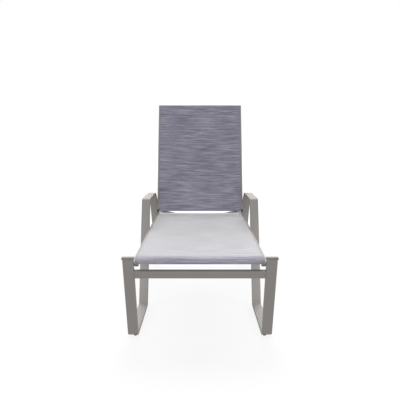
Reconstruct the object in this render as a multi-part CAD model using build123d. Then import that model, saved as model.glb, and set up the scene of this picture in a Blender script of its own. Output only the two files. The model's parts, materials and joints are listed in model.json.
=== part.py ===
from build123d import *
import os
from math import asin, atan2, cos, degrees, radians, sin, tan

# Sling sun lounger with arms. Millimetres, +Z up, +Y from the foot end towards the head end,
# +X to the right of someone who looks at the lounger from its foot end.
# Places along Y are first measured from the foot end, and the finished model is centred at the end.

# Side frames: one flat tube each, bent into front leg, floor runner, post, arm and rear leg
OVERALL_WIDTH = 711.0
TUBE_WIDTH = 51.0
TUBE_THICKNESS = 19.0
TUBE_WALL = 2.0
TUBE_EDGE_RADIUS = 2.5
LEG_CUT_BELOW_SEAT = 5.0
LEG_CUT_Y = 12.8
LEG_FOOT_Y = 137.0
POST_FOOT_Y = 547.0
POST_HEAD_Y = 758.0
ARM_TOP_HEIGHT = 611.0
ARM_REAR_Y = 1176.0
REAR_LEG_FOOT_Y = 1550.0
FOOT_BEND_RADIUS = 16.0
ARM_FRONT_BEND_RADIUS = 15.0
ARM_REAR_BEND_RADIUS = 180.0

# Floor contacts
GLIDE_HEIGHT = 6.0
GLIDE_RADIUS = 9.0
GLIDE_CHAMFER = 1.5
GLIDE_STEM_RADIUS = 4.0
GLIDE_STEM_LENGTH = 9.0
GLIDE_INSET = 16.5
GLIDE_BEHIND_BEND = 16.0

# Moulded caps and feet on the tube ends
CAP_THICKNESS = 11.0
CAP_OVERHANG = 3.5
CAP_LIP = 1.5
CAP_ROUNDING = 2.5
PLUG_LENGTH = 22.0
PLUG_GAP = 0.2

# Stretchers between the legs
STRETCHER_DEPTH = 39.0
FRONT_STRETCHER_BELOW_CUT = 75.0
REAR_STRETCHER_HEIGHT = 190.0

# Sling rails, the same extrusion on seat and back
RAIL_WIDTH = 20.0
RAIL_DEPTH = 24.0
RAIL_WALL = 2.0
RAIL_EDGE_RADIUS = 3.0
RAIL_CAVITY_RADIUS = 1.0
GROOVE_INSET = 13.0
GROOVE_DEPTH = 7.0
GROOVE_RADIUS = 4.0
GROOVE_SLOT = 2.6
SIDE_SPACER = 1.0

# Seat: the top of the rails at the start of the front roll, and the line that they follow
SEAT_ROLL_Y = 72.0
SEAT_FRONT_HEIGHT = 428.0
SEAT_RISE_ANGLE = 1.3
ROLL_RADIUS = 84.0
ROLL_ANGLE = 43.2
SLING_BEFORE_PIVOT = 15.0
SLING_BEFORE_RAIL_END = 0.5
RAIL_BEHIND_PIVOT = 530.0

# Back: hinge axis above the seat rails, and the photographed upright angle
PIVOT_Y = 1195.0
PIVOT_ABOVE_RAIL = 13.0
BACK_ANGLE = 72.0
BACK_LENGTH = 788.5
BACK_RAIL_START = 10.0
BACK_SLING_START = 12.0
BACK_SLING_END_GAP = 2.0

# Slings and the cords that lock them in the grooves; between the rails the hems reach further
SLING_THICKNESS = 1.2
SLING_GAP = 0.2
SLING_SAG = 4.0
SEAT_HEM_REACH = 6.0
BACK_HEM_DROP = 10.5
BACK_HEM_RISE = 4.5
HEM_SIDE_GAP = 0.5
SPLINE_RADIUS = 3.2
SPLINE_SETBACK = 4.0

# Bowed braces
BRACE_RADIUS = 11.0
BRACE_WALL = 1.6
SEAT_BRACE_BOW = 34.0
SEAT_BRACE_SHARES = (0.16, 0.62)
SEAT_BRACE_DROP = 15.0
BACK_BRACE_BOW = 34.0
BACK_BRACE_ABOVE_PIVOT = 95.0
BACK_BRACE_BELOW_END = 24.5
REAR_BRACE_BEHIND_PIVOT = 155.0
REAR_BRACE_BOW = 40.0
REAR_BRACE_DROP = 14.0
END_BRACE_FROM_END = 14.0
END_BRACE_BOW = 20.0

# Hinge of the back
PIN_RADIUS = 4.0
PIN_CLEARANCE = 0.05
KNUCKLE_RADIUS = 9.5
KNUCKLE_WIDTH = 11.8
KNUCKLE_COVER = 1.6
HINGE_GAP = 0.4
LUG_RADIUS = 7.6
LUG_BASE_LENGTH = 21.0
LUG_BASE_THICKNESS = 2.0
PIN_HEAD_RADIUS = 6.5
PIN_HEAD_THICKNESS = 3.5
PIN_HEAD_CHAMFER = 1.2

# Prop that holds the back up, and the racks that its rod lies on
PROP_REACH = 240.0
PROP_ARM_WIDTH = 16.0
PROP_ARM_THICKNESS = 5.0
ROD_RADIUS = 6.0
ROD_BORE_GAP = 0.1
ROD_LINE_FALL = 1.6
ROD_RUN_CLEARANCE = 0.5
ROD_COLLAR_RADIUS = 7.5
ROD_COLLAR_WIDTH = 4.0
PROP_ARM_GAP = 3.0
PROP_PIN_REACH = 3.0
RACK_THICKNESS = 5.0
RACK_SIDE_GAP = 0.5
RACK_BELOW_RAIL_TOP = 22.0
RACK_END_WALL = 7.0
RACK_END_CLEARANCE = 3.0
RACK_END_RISE = 5.0
NOTCH_DEPTH = 5.5
NOTCH_CLEARANCE = 0.6
NOTCH_BACK_ANGLES = (BACK_ANGLE, 64.0, 56.0, 47.0, 37.0, 24.0)
PROP_SPACER_RADIUS = 6.0
WASHER_GAP = 0.3

# Screws, spacers and rail plugs
BOLT_RADIUS = 3.0
BOLT_HEAD_RADIUS = 6.0
BOLT_HEAD_THICKNESS = 3.2
BOLT_HEAD_CHAMFER = 1.0
BOLT_HEAD_CLEARANCE = 1.0
RACK_SCREW_HEAD_THICKNESS = 2.2
RACK_SCREW_BELOW_TOP = 16.0
FRAME_BOLT_BELOW_TOP = 16.5
SPACER_RADIUS = 6.5
FRONT_SPACER_RADIUS = 5.0
RAIL_PLUG_THICKNESS = 3.0
BOLT_REACH = 12.0
BOLT_HOLE_GAP = 0.1
RACK_SCREW_SHARES = (0.2, 0.55, 0.93)

# One overrun for every cut that goes right through
CUT_OVERRUN = 40.0
# Faces of one body that would touch stand this far apart
JOIN_GAP = 0.2
# Rounds of the sum that finds where a leaning tube meets the bolt line
BOLT_LINE_STEPS = 4

# Sizes that follow
HALF_WIDTH = OVERALL_WIDTH / 2
TUBE_INNER_X = HALF_WIDTH - TUBE_WIDTH
TUBE_CENTRE_X = HALF_WIDTH - TUBE_WIDTH / 2
RAIL_OUTER_X = TUBE_INNER_X - SIDE_SPACER
RAIL_INNER_X = RAIL_OUTER_X - RAIL_WIDTH
RAIL_CENTRE_X = RAIL_OUTER_X - RAIL_WIDTH / 2
GROOVE_X = RAIL_OUTER_X - GROOVE_INSET
RUNNER_HEIGHT = GLIDE_HEIGHT + TUBE_THICKNESS / 2
LEG_CUT_HEIGHT = SEAT_FRONT_HEIGHT - LEG_CUT_BELOW_SEAT
ARM_HEIGHT = ARM_TOP_HEIGHT - TUBE_THICKNESS / 2
RACK_OUTER_X = RAIL_INNER_X - RACK_SIDE_GAP
RACK_INNER_X = RACK_OUTER_X - RACK_THICKNESS
ARM_OUTER_X = RACK_INNER_X - PROP_ARM_GAP
ARM_INNER_X = ARM_OUTER_X - PROP_ARM_THICKNESS
KNUCKLE_OUTER_X = RAIL_OUTER_X - HINGE_GAP
KNUCKLE_INNER_X = KNUCKLE_OUTER_X - KNUCKLE_WIDTH
LUG_OUTER_X = KNUCKLE_INNER_X - HINGE_GAP
LUG_INNER_X = RAIL_INNER_X + JOIN_GAP

LEG_LEAN = degrees(atan2(LEG_FOOT_Y - LEG_CUT_Y, LEG_CUT_HEIGHT - RUNNER_HEIGHT))
POST_LEAN = degrees(atan2(POST_HEAD_Y - POST_FOOT_Y, ARM_HEIGHT - RUNNER_HEIGHT))
REAR_LEG_LEAN = degrees(atan2(REAR_LEG_FOOT_Y - ARM_REAR_Y, ARM_HEIGHT - GLIDE_HEIGHT))

ROD_LINE_ANGLE = SEAT_RISE_ANGLE - ROD_LINE_FALL
RECLINE_TRAVEL = BACK_ANGLE - SEAT_RISE_ANGLE


def turn(angle):
    """Unit vector in the side plane, at an angle up from +Y."""
    return Vector(0, cos(radians(angle)), sin(radians(angle)))


def side_plane(origin, angle, x=0.0):
    """Plane of a side view: local x runs along the angle, local y is square to it, and +X is its normal."""
    return Plane(origin=(x, origin.Y, origin.Z), x_dir=turn(angle), z_dir=(1, 0, 0))


SEAT_ORIGIN = Vector(0, SEAT_ROLL_Y, SEAT_FRONT_HEIGHT)
SEAT = side_plane(SEAT_ORIGIN, SEAT_RISE_ANGLE)
PIVOT_ALONG = (PIVOT_Y - SEAT_ROLL_Y + PIVOT_ABOVE_RAIL * sin(radians(SEAT_RISE_ANGLE))) / cos(
    radians(SEAT_RISE_ANGLE)
)
PIVOT = SEAT.from_local_coords(Vector(PIVOT_ALONG, PIVOT_ABOVE_RAIL, 0))
BACK = side_plane(PIVOT, BACK_ANGLE)
ROD_LINE = side_plane(PIVOT, ROD_LINE_ANGLE)
RAIL_END = PIVOT_ALONG + RAIL_BEHIND_PIVOT


def rod_distance(back_angle):
    """How far behind the pivot the rod lies when the back stands at an angle."""
    return 2 * PROP_REACH * cos(radians(back_angle - ROD_LINE_ANGLE))


PROP_HINGE = BACK.from_local_coords(Vector(PROP_REACH, 0, 0))
ROD_AT_REST = rod_distance(BACK_ANGLE)
ROD_FLAT = rod_distance(SEAT_RISE_ANGLE)
ROD_PLACE = ROD_LINE.from_local_coords(Vector(ROD_AT_REST, 0, 0))
PROP_ANGLE = 2 * ROD_LINE_ANGLE - BACK_ANGLE


def both(piece):
    """The piece and its mirror image on the other side."""
    return [piece, mirror(piece, about=Plane.YZ)]


def x_rod(radius, x_from, x_to, place):
    """Round bar along X."""
    middle = Pos((x_from + x_to) / 2, place.Y, place.Z)
    return middle * Rot(0, 90, 0) * Cylinder(radius, abs(x_to - x_from))


def x_plate(outline, plane, x_from, x_to):
    """Plate whose outline is drawn in a side plane."""
    shifted = Plane(origin=plane.origin + Vector(x_from, 0, 0), x_dir=plane.x_dir, z_dir=plane.z_dir)
    return extrude(shifted * outline, amount=x_to - x_from)


def swept(outline, path):
    """Outline swept along a path in a side plane, with the outline's local x kept along X."""
    start = Plane(origin=path @ 0, x_dir=(1, 0, 0), z_dir=path % 0)
    return sweep(start * outline, path=path)


def screw(x_head, x_tip, place, radius, head_radius, head_thickness, head_chamfer):
    """Screw or pin along X whose chamfered head stands inboard of x_head."""
    head = x_rod(head_radius, x_head - head_thickness, x_head, place)
    head = chamfer(head.edges().sort_by(Axis.X)[0], head_chamfer)
    return head + x_rod(radius, x_head, x_tip, place)


def headed_pins(x_head, x_tip, place):
    """Headed pin along X on each side."""
    pin = screw(x_head, x_tip, place, PIN_RADIUS, PIN_HEAD_RADIUS, PIN_HEAD_THICKNESS, PIN_HEAD_CHAMFER)
    return both(pin)


def tube_outline():
    """Section of the flat tube."""
    outer = RectangleRounded(TUBE_WIDTH, TUBE_THICKNESS, TUBE_EDGE_RADIUS)
    inner = Rectangle(TUBE_WIDTH - 2 * TUBE_WALL, TUBE_THICKNESS - 2 * TUBE_WALL)
    return outer - inner


def on_leg(height):
    """Point of the front leg's centreline at a height."""
    return Vector(0, LEG_CUT_Y + (LEG_CUT_HEIGHT - height) * tan(radians(LEG_LEAN)), height)


def on_post(height):
    """Point of the post's centreline at a height."""
    return Vector(0, POST_FOOT_Y + (height - RUNNER_HEIGHT) * tan(radians(POST_LEAN)), height)


def on_rear_leg(height):
    """Point of the rear leg's centreline at a height."""
    return Vector(0, ARM_REAR_Y + (ARM_HEIGHT - height) * tan(radians(REAR_LEG_LEAN)), height)


def rail_height_at(centreline):
    """Where a leaning member's centreline meets the line of the bolts in the seat rail."""
    height = SEAT_FRONT_HEIGHT
    for _ in range(BOLT_LINE_STEPS):
        along = centreline(height).Y - SEAT_ROLL_Y
        height = SEAT_FRONT_HEIGHT + along * tan(radians(SEAT_RISE_ANGLE)) - FRAME_BOLT_BELOW_TOP
    return centreline(height)


POST_BOLT = rail_height_at(on_post)
REAR_LEG_BOLT = rail_height_at(on_rear_leg)


def side_frame():
    """Right side frame: the bent flat tube, cut level at both ends and drilled for the rail bolts."""
    above = on_leg(LEG_CUT_HEIGHT + CUT_OVERRUN)
    below = on_rear_leg(GLIDE_HEIGHT - CUT_OVERRUN)
    corners = (
        (TUBE_CENTRE_X, above.Y, above.Z),
        (TUBE_CENTRE_X, LEG_FOOT_Y, RUNNER_HEIGHT),
        (TUBE_CENTRE_X, POST_FOOT_Y, RUNNER_HEIGHT),
        (TUBE_CENTRE_X, POST_HEAD_Y, ARM_HEIGHT),
        (TUBE_CENTRE_X, ARM_REAR_Y, ARM_HEIGHT),
        (TUBE_CENTRE_X, below.Y, below.Z),
    )
    bends = (FOOT_BEND_RADIUS, FOOT_BEND_RADIUS, ARM_FRONT_BEND_RADIUS, ARM_REAR_BEND_RADIUS)
    tube = swept(tube_outline(), FilletPolyline(*corners, radius=bends))
    over = Pos(TUBE_CENTRE_X, on_leg(LEG_CUT_HEIGHT).Y, LEG_CUT_HEIGHT + CUT_OVERRUN)
    under = Pos(TUBE_CENTRE_X, on_rear_leg(GLIDE_HEIGHT).Y, GLIDE_HEIGHT - CUT_OVERRUN)
    waste = Box(2 * TUBE_WIDTH, 4 * TUBE_WIDTH, 2 * CUT_OVERRUN)
    tube = tube - over * waste - under * waste
    bolt_hole = BOLT_RADIUS + BOLT_HOLE_GAP
    for place in (POST_BOLT, REAR_LEG_BOLT):
        tube -= x_rod(bolt_hole, TUBE_INNER_X - TUBE_WALL, TUBE_INNER_X + 2 * TUBE_WALL, place)
    for place in glide_places():
        hole = Cylinder(GLIDE_STEM_RADIUS + PLUG_GAP, 4 * TUBE_WALL)
        tube -= Pos(place.X, place.Y, GLIDE_HEIGHT) * hole
    return tube


def glide_places():
    """Centres of the runner's two glides, on the floor."""
    lateral = TUBE_INNER_X + GLIDE_INSET
    return (
        Vector(lateral, LEG_FOOT_Y + GLIDE_BEHIND_BEND, 0),
        Vector(lateral, POST_FOOT_Y - GLIDE_BEHIND_BEND, 0),
    )


def glides():
    """Four round glides under the runners, each with a stem that snaps into the tube."""
    pieces = []
    for place in glide_places():
        disc = Cylinder(GLIDE_RADIUS, GLIDE_HEIGHT - JOIN_GAP)
        disc = chamfer(disc.edges().group_by(Axis.Z)[0], GLIDE_CHAMFER)
        disc = Pos(place.X, place.Y, (GLIDE_HEIGHT - JOIN_GAP) / 2) * disc
        stem = Cylinder(GLIDE_STEM_RADIUS, GLIDE_STEM_LENGTH)
        stem = Pos(place.X, place.Y, GLIDE_HEIGHT - JOIN_GAP + GLIDE_STEM_LENGTH / 2) * stem
        pieces += both(disc + stem)
    return pieces


def tube_plug(place, lean, direction):
    """Body of a moulded cap inside the flat tube, from a level cut along the leaning leg."""
    width = TUBE_WIDTH - 2 * TUBE_WALL - 2 * PLUG_GAP
    depth = TUBE_THICKNESS - 2 * TUBE_WALL - 2 * PLUG_GAP
    block = Box(width, depth, 2 * PLUG_LENGTH)
    block = Pos(TUBE_CENTRE_X, place.Y, place.Z) * Rot(lean, 0, 0) * block
    keep = Box(2 * TUBE_WIDTH, 4 * TUBE_WIDTH, PLUG_LENGTH)
    return block & Pos(TUBE_CENTRE_X, place.Y, place.Z + direction * PLUG_LENGTH / 2) * keep


def level_flange(place, lean, thickness, overhang, bottom):
    """Level plate on the end of a leaning leg."""
    depth = TUBE_THICKNESS / cos(radians(lean)) + 2 * CAP_LIP
    plate = Box(TUBE_WIDTH + 2 * overhang, depth, thickness)
    plate = fillet(plate.edges(), min(CAP_ROUNDING, thickness / 3))
    return Pos(TUBE_CENTRE_X, place.Y, bottom + thickness / 2) * plate


def front_leg_caps():
    """Moulded caps that close the tops of the front legs and overhang them on both sides."""
    place = on_leg(LEG_CUT_HEIGHT)
    flange = level_flange(place, LEG_LEAN, CAP_THICKNESS, CAP_OVERHANG, LEG_CUT_HEIGHT + JOIN_GAP)
    neck = on_leg(LEG_CUT_HEIGHT + 2 * JOIN_GAP)
    return both(flange + tube_plug(neck, LEG_LEAN, -1))


def rear_feet():
    """Moulded feet in the bottom ends of the rear legs, flat on the floor."""
    place = on_rear_leg(GLIDE_HEIGHT)
    flange = level_flange(place, REAR_LEG_LEAN, GLIDE_HEIGHT - JOIN_GAP, 0, 0)
    neck = on_rear_leg(GLIDE_HEIGHT - 2 * JOIN_GAP)
    return both(flange + tube_plug(neck, REAR_LEG_LEAN, 1))


def stretcher(place, lean):
    """Flat tube between the two side frames, in line with the legs that it joins."""
    plane = side_plane(place, 90 + lean)
    outer = RectangleRounded(STRETCHER_DEPTH, TUBE_THICKNESS, TUBE_EDGE_RADIUS)
    inner = Rectangle(STRETCHER_DEPTH - 2 * TUBE_WALL, TUBE_THICKNESS - 2 * TUBE_WALL)
    reach = TUBE_INNER_X - JOIN_GAP
    return x_plate(outer - inner, plane, -reach, reach)


def rail_outline():
    """Section of a sling rail: a keyhole groove in the top face over a hollow."""
    outer = RectangleRounded(RAIL_WIDTH, RAIL_DEPTH, RAIL_EDGE_RADIUS)
    top = RAIL_DEPTH / 2
    groove_at = GROOVE_X - RAIL_CENTRE_X
    keyhole = Pos(groove_at, top - GROOVE_DEPTH) * Circle(GROOVE_RADIUS)
    keyhole += Pos(groove_at, top - GROOVE_DEPTH / 2) * Rectangle(GROOVE_SLOT, GROOVE_DEPTH)
    hollow_height = cavity_height()
    hollow = Pos(0, -top + RAIL_WALL + hollow_height / 2) * RectangleRounded(
        RAIL_WIDTH - 2 * RAIL_WALL, hollow_height, RAIL_CAVITY_RADIUS
    )
    return outer - keyhole - hollow


def cavity_height():
    """Height of the rail's hollow, under the groove."""
    return RAIL_DEPTH - 2 * RAIL_WALL - GROOVE_DEPTH - GROOVE_RADIUS


def seat_path(depth, start, turn_angle, x):
    """Line at a depth below the rails' top face, from the head end forward and down the front roll."""
    run = Line((start, -depth), (0, -depth)) + JernArc((0, -depth), (-1, 0), ROLL_RADIUS - depth, turn_angle)
    plane = Plane(origin=SEAT.origin + Vector(x, 0, 0), x_dir=SEAT.x_dir, z_dir=SEAT.z_dir)
    return Wire([plane * edge for edge in run.edges()])


def seat_rail():
    """Right seat rail: rolled down at the foot end, and carried on behind the back's hinge."""
    rail = swept(rail_outline(), seat_path(RAIL_DEPTH / 2, RAIL_END, ROLL_ANGLE, RAIL_CENTRE_X))
    bolt_hole = BOLT_RADIUS + BOLT_HOLE_GAP
    for place in (POST_BOLT, REAR_LEG_BOLT):
        rail -= x_rod(bolt_hole, RAIL_INNER_X - CUT_OVERRUN, RAIL_OUTER_X + CUT_OVERRUN, place)
    for place in rack_screw_places():
        rail -= x_rod(bolt_hole, RAIL_INNER_X - RAIL_WALL, RAIL_INNER_X + RAIL_WIDTH / 2, place)
    return rail


def plug_cover(plane, thickness):
    """Cover of a moulded plug, with the rail's own outline and a chamfered rim."""
    cover = extrude(plane * RectangleRounded(RAIL_WIDTH, RAIL_DEPTH, RAIL_EDGE_RADIUS), amount=thickness)
    outer_face = cover.faces().sort_by(Axis(plane.origin, plane.z_dir))[-1]
    return chamfer(outer_face.edges(), thickness / 2)


def tongue_outline():
    """Section of the tongue that fills a rail's hollow."""
    height = cavity_height()
    middle = -RAIL_DEPTH / 2 + RAIL_WALL + height / 2
    width = RAIL_WIDTH - 2 * RAIL_WALL - 2 * PLUG_GAP
    return Pos(0, middle) * RectangleRounded(width, height - 2 * PLUG_GAP, RAIL_CAVITY_RADIUS)


def plug_tongue(plane):
    """Straight tongue in the end of a rail's hollow."""
    return extrude(plane * tongue_outline(), amount=-PLUG_LENGTH)


def rolled_tongue():
    """Tongue that follows the roll at the foot end of a seat rail."""
    radius = ROLL_RADIUS - RAIL_DEPTH / 2
    back_turn = degrees(PLUG_LENGTH / radius)
    overlap = degrees(2 * JOIN_GAP / radius)
    arc = CenterArc((0, -ROLL_RADIUS), radius, 90 + ROLL_ANGLE - back_turn, back_turn + overlap)
    plane = Plane(origin=SEAT.origin + Vector(RAIL_CENTRE_X, 0, 0), x_dir=SEAT.x_dir, z_dir=SEAT.z_dir)
    return swept(tongue_outline(), plane * arc)


def end_plane(path, at_start):
    """Plane on the end of a rail, facing away from it, with local y towards the sling."""
    if at_start:
        return Plane(origin=path @ 0, x_dir=(-1, 0, 0), z_dir=-(path % 0))
    return Plane(origin=path @ 1, x_dir=(1, 0, 0), z_dir=path % 1)


def seat_rail_plugs():
    """Plugs in both ends of both seat rails."""
    path = seat_path(RAIL_DEPTH / 2, RAIL_END, ROLL_ANGLE, RAIL_CENTRE_X)
    rear = end_plane(path, True).offset(JOIN_GAP)
    front = end_plane(path, False).offset(JOIN_GAP)
    pieces = both(plug_cover(rear, RAIL_PLUG_THICKNESS) + plug_tongue(rear))
    return pieces + both(plug_cover(front, RAIL_PLUG_THICKNESS) + rolled_tongue())


def sling_outline():
    """Section of a sling: edges down in the grooves, over the rails' inner lips, and a slight sag."""
    outer = GROOVE_X + SLING_THICKNESS / 2
    inner = GROOVE_X - SLING_THICKNESS / 2
    low = -GROOVE_DEPTH + SPLINE_RADIUS + JOIN_GAP
    under = SLING_GAP
    over = SLING_GAP + SLING_THICKNESS
    lip = RAIL_INNER_X
    top = Line((outer, low), (outer, over)) + Line((outer, over), (lip, over))
    top += ThreePointArc((lip, over), (0, over - SLING_SAG), (-lip, over))
    top += Line((-lip, over), (-outer, over)) + Line((-outer, over), (-outer, low))
    base = Line((-outer, low), (-inner, low)) + Line((-inner, low), (-inner, under))
    base += Line((-inner, under), (-lip, under))
    base += ThreePointArc((-lip, under), (0, under - SLING_SAG), (lip, under))
    base += Line((lip, under), (inner, under)) + Line((inner, under), (inner, low))
    base += Line((inner, low), (outer, low))
    return make_face(Wire(top.edges() + base.edges()))


def hem_outline():
    """The part of a sling's section that lies between the rails."""
    return sling_outline() & Rectangle(2 * (RAIL_INNER_X - HEM_SIDE_GAP), RAIL_DEPTH)


def roll_turn(depth, before_end):
    """How far the front roll has turned at a distance before its end, at a depth below the rails' top."""
    return ROLL_ANGLE - degrees(before_end / (ROLL_RADIUS - depth))


def seat_sling():
    """Seat sling, from the hinge forward and down over the front roll."""
    rear = PIVOT_ALONG - SLING_BEFORE_PIVOT
    sling = swept(sling_outline(), seat_path(0, rear, roll_turn(0, SLING_BEFORE_RAIL_END), 0))
    hem_from = SEAT.from_local_coords(Vector(rear + SEAT_HEM_REACH, 0, 0))
    hem_to = SEAT.from_local_coords(Vector(rear, 0, 0))
    return sling + swept(hem_outline(), Line(hem_from, hem_to))


def seat_splines():
    """Cords that lock the seat sling in the rails' grooves."""
    rear = PIVOT_ALONG - SLING_BEFORE_PIVOT - SPLINE_SETBACK
    front_turn = roll_turn(GROOVE_DEPTH, SLING_BEFORE_RAIL_END + SPLINE_SETBACK)
    return both(swept(Circle(SPLINE_RADIUS), seat_path(GROOVE_DEPTH, rear, front_turn, GROOVE_X)))


def bowed_tube(plane, half_span, bow):
    """Round tube bowed towards the plane's negative local y, trimmed to its span along X."""
    radius = (half_span**2 + bow**2) / (2 * bow)
    half_angle = degrees(asin((half_span + BRACE_RADIUS) / radius))
    arc = CenterArc((0, radius - bow), radius, -90 - half_angle, 2 * half_angle)
    path = plane * arc
    outline = Circle(BRACE_RADIUS) - Circle(BRACE_RADIUS - BRACE_WALL)
    tube = sweep(Plane(origin=path @ 0, z_dir=path % 0) * outline, path=path)
    keep = Box(2 * half_span, 4 * (bow + BRACE_RADIUS), 4 * (bow + BRACE_RADIUS))
    return tube & Pos(0, plane.origin.Y, plane.origin.Z) * keep


def across(frame, along, height, angle):
    """Plane for a bowed brace at a place along a rail, with local y square to the rail."""
    origin = frame.from_local_coords(Vector(along, height, 0))
    return Plane(origin=origin, x_dir=(1, 0, 0), z_dir=-turn(angle))


def seat_brace(share):
    """Bowed brace between the seat rails, under the sling."""
    plane = across(SEAT, PIVOT_ALONG * share, -SEAT_BRACE_DROP, SEAT_RISE_ANGLE)
    return bowed_tube(plane, RAIL_INNER_X - JOIN_GAP, SEAT_BRACE_BOW)


def rear_brace():
    """Bowed brace between the two racks, behind the hinge."""
    plane = across(SEAT, PIVOT_ALONG + REAR_BRACE_BEHIND_PIVOT, -REAR_BRACE_DROP, SEAT_RISE_ANGLE)
    return bowed_tube(plane, RACK_INNER_X - JOIN_GAP, REAR_BRACE_BOW)


def end_brace():
    """Bowed brace that ties the head ends of the seat rails."""
    plane = across(SEAT, RAIL_END - END_BRACE_FROM_END, -RAIL_DEPTH / 2, SEAT_RISE_ANGLE)
    return bowed_tube(plane, RAIL_INNER_X - JOIN_GAP, END_BRACE_BOW)


def back_brace(along):
    """Brace between the back rails, bowed away from the sling."""
    plane = across(BACK, along, 0, BACK_ANGLE)
    return bowed_tube(plane, RAIL_INNER_X - JOIN_GAP, BACK_BRACE_BOW)


def hinge_lugs():
    """Lugs on top of the seat rails that carry the hinge pins."""
    centre = Pos(PIVOT_ALONG, PIVOT_ABOVE_RAIL)
    post = Pos(PIVOT_ALONG, (PIVOT_ABOVE_RAIL + JOIN_GAP) / 2) * Rectangle(
        2 * LUG_RADIUS, PIVOT_ABOVE_RAIL - JOIN_GAP
    )
    foot_at = PIVOT_ALONG + LUG_RADIUS - LUG_BASE_LENGTH / 2
    foot = Pos(foot_at, JOIN_GAP + LUG_BASE_THICKNESS / 2) * Rectangle(LUG_BASE_LENGTH, LUG_BASE_THICKNESS)
    outline = centre * Circle(LUG_RADIUS) + post + foot - centre * Circle(PIN_RADIUS + PIN_CLEARANCE)
    return both(x_plate(outline, SEAT, LUG_INNER_X, LUG_OUTER_X))


def hinge_pins():
    """Headed pins from the lugs out into the back's knuckles."""
    return headed_pins(LUG_INNER_X - JOIN_GAP, KNUCKLE_OUTER_X - JOIN_GAP, PIVOT)


def rack_screw_places():
    """Centres of the screws that hold a rack to its rail."""
    front, rear = rack_ends()
    places = []
    for share in RACK_SCREW_SHARES:
        along = PIVOT_ALONG + front + (rear - front) * share
        places.append(SEAT.from_local_coords(Vector(along, -RACK_SCREW_BELOW_TOP, 0)))
    return places


def rack_ends():
    """Where a rack starts and ends, measured from the hinge along the rod's line."""
    spare = ROD_RADIUS + RACK_END_CLEARANCE + RACK_END_WALL
    return ROD_AT_REST - spare, ROD_FLAT + spare


def rack():
    """Right rack: a plate on the rail's inner side with a notch for each position of the back."""
    front, rear = rack_ends()
    tips = -(ROD_RADIUS + ROD_RUN_CLEARANCE)
    fall = tan(radians(ROD_LINE_FALL))
    bottom = -PIVOT_ABOVE_RAIL - RACK_BELOW_RAIL_TOP
    rise = tips + ROD_RADIUS + RACK_END_RISE
    corners = (
        (front, bottom + front * fall),
        (rear, bottom + rear * fall),
        (rear, rise),
        (rear - RACK_END_WALL, rise),
        (rear - RACK_END_WALL, tips),
        (front + RACK_END_WALL, tips),
        (front + RACK_END_WALL, rise),
        (front, rise),
    )
    outline = make_face(Polyline(*corners, close=True))
    for angle in NOTCH_BACK_ANGLES:
        outline -= Pos(rod_distance(angle), -NOTCH_DEPTH) * Circle(ROD_RADIUS + NOTCH_CLEARANCE)
    plate = x_plate(outline, ROD_LINE, RACK_INNER_X, RACK_OUTER_X)
    screw_hole = BOLT_RADIUS + BOLT_HOLE_GAP
    for place in rack_screw_places():
        plate -= x_rod(screw_hole, RACK_INNER_X - CUT_OVERRUN, RACK_OUTER_X + CUT_OVERRUN, place)
    head_room = BOLT_HEAD_RADIUS + BOLT_HEAD_CLEARANCE
    return plate - x_rod(head_room, RACK_INNER_X - CUT_OVERRUN, RACK_OUTER_X + CUT_OVERRUN, REAR_LEG_BOLT)


def rack_screws():
    """Screws through the racks into the rails."""
    pieces = []
    for place in rack_screw_places():
        pieces += both(
            screw(
                RACK_INNER_X - JOIN_GAP,
                RAIL_INNER_X + RAIL_WIDTH / 2 - JOIN_GAP,
                place,
                BOLT_RADIUS,
                BOLT_HEAD_RADIUS,
                RACK_SCREW_HEAD_THICKNESS,
                BOLT_HEAD_CHAMFER,
            )
        )
    return pieces


def frame_bolts():
    """Bolts from the inner side of the seat rails into the posts and rear legs."""
    pieces = []
    for place in (POST_BOLT, REAR_LEG_BOLT):
        pieces += both(
            screw(
                RAIL_INNER_X - JOIN_GAP,
                TUBE_INNER_X + BOLT_REACH,
                place,
                BOLT_RADIUS,
                BOLT_HEAD_RADIUS,
                BOLT_HEAD_THICKNESS,
                BOLT_HEAD_CHAMFER,
            )
        )
    return pieces


def rail_spacers():
    """Spacers between the seat rails and the side frames: rings on the bolts, and pads at the front."""
    pieces = []
    x_from = RAIL_OUTER_X + JOIN_GAP
    x_to = TUBE_INNER_X - JOIN_GAP
    for place in (POST_BOLT, REAR_LEG_BOLT):
        ring = x_rod(SPACER_RADIUS, x_from, x_to, place)
        ring -= x_rod(BOLT_RADIUS + BOLT_HOLE_GAP, x_from - CUT_OVERRUN, x_to + CUT_OVERRUN, place)
        pieces += both(ring)
    turned = 90 + roll_turn(RAIL_DEPTH / 2, FRONT_SPACER_RADIUS)
    reach = ROLL_RADIUS - RAIL_DEPTH / 2
    pad_at = Vector(reach * cos(radians(turned)), reach * sin(radians(turned)) - ROLL_RADIUS, 0)
    pieces += both(x_rod(FRONT_SPACER_RADIUS, x_from, x_to, SEAT.from_local_coords(pad_at)))
    return pieces


def back_path(depth, start, end, x):
    """Straight line along the back at a depth behind its front face, from the head end down."""
    front = RAIL_DEPTH / 2 - depth
    head = BACK.from_local_coords(Vector(end, front, 0)) + Vector(x, 0, 0)
    foot = BACK.from_local_coords(Vector(start, front, 0)) + Vector(x, 0, 0)
    return Line(head, foot)


def back_rail():
    """Right back rail, drilled for the prop's pin."""
    rail = swept(rail_outline(), back_path(RAIL_DEPTH / 2, BACK_RAIL_START, BACK_LENGTH, RAIL_CENTRE_X))
    reach = RAIL_INNER_X + PROP_PIN_REACH
    return rail - x_rod(PIN_RADIUS + BOLT_HOLE_GAP, RAIL_INNER_X - RAIL_WALL, reach, PROP_HINGE)


def back_rail_plugs():
    """Plugs in the top ends of the back rails."""
    path = back_path(RAIL_DEPTH / 2, BACK_RAIL_START, BACK_LENGTH, RAIL_CENTRE_X)
    plane = end_plane(path, True).offset(JOIN_GAP)
    return both(plug_cover(plane, RAIL_PLUG_THICKNESS) + plug_tongue(plane))


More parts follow.
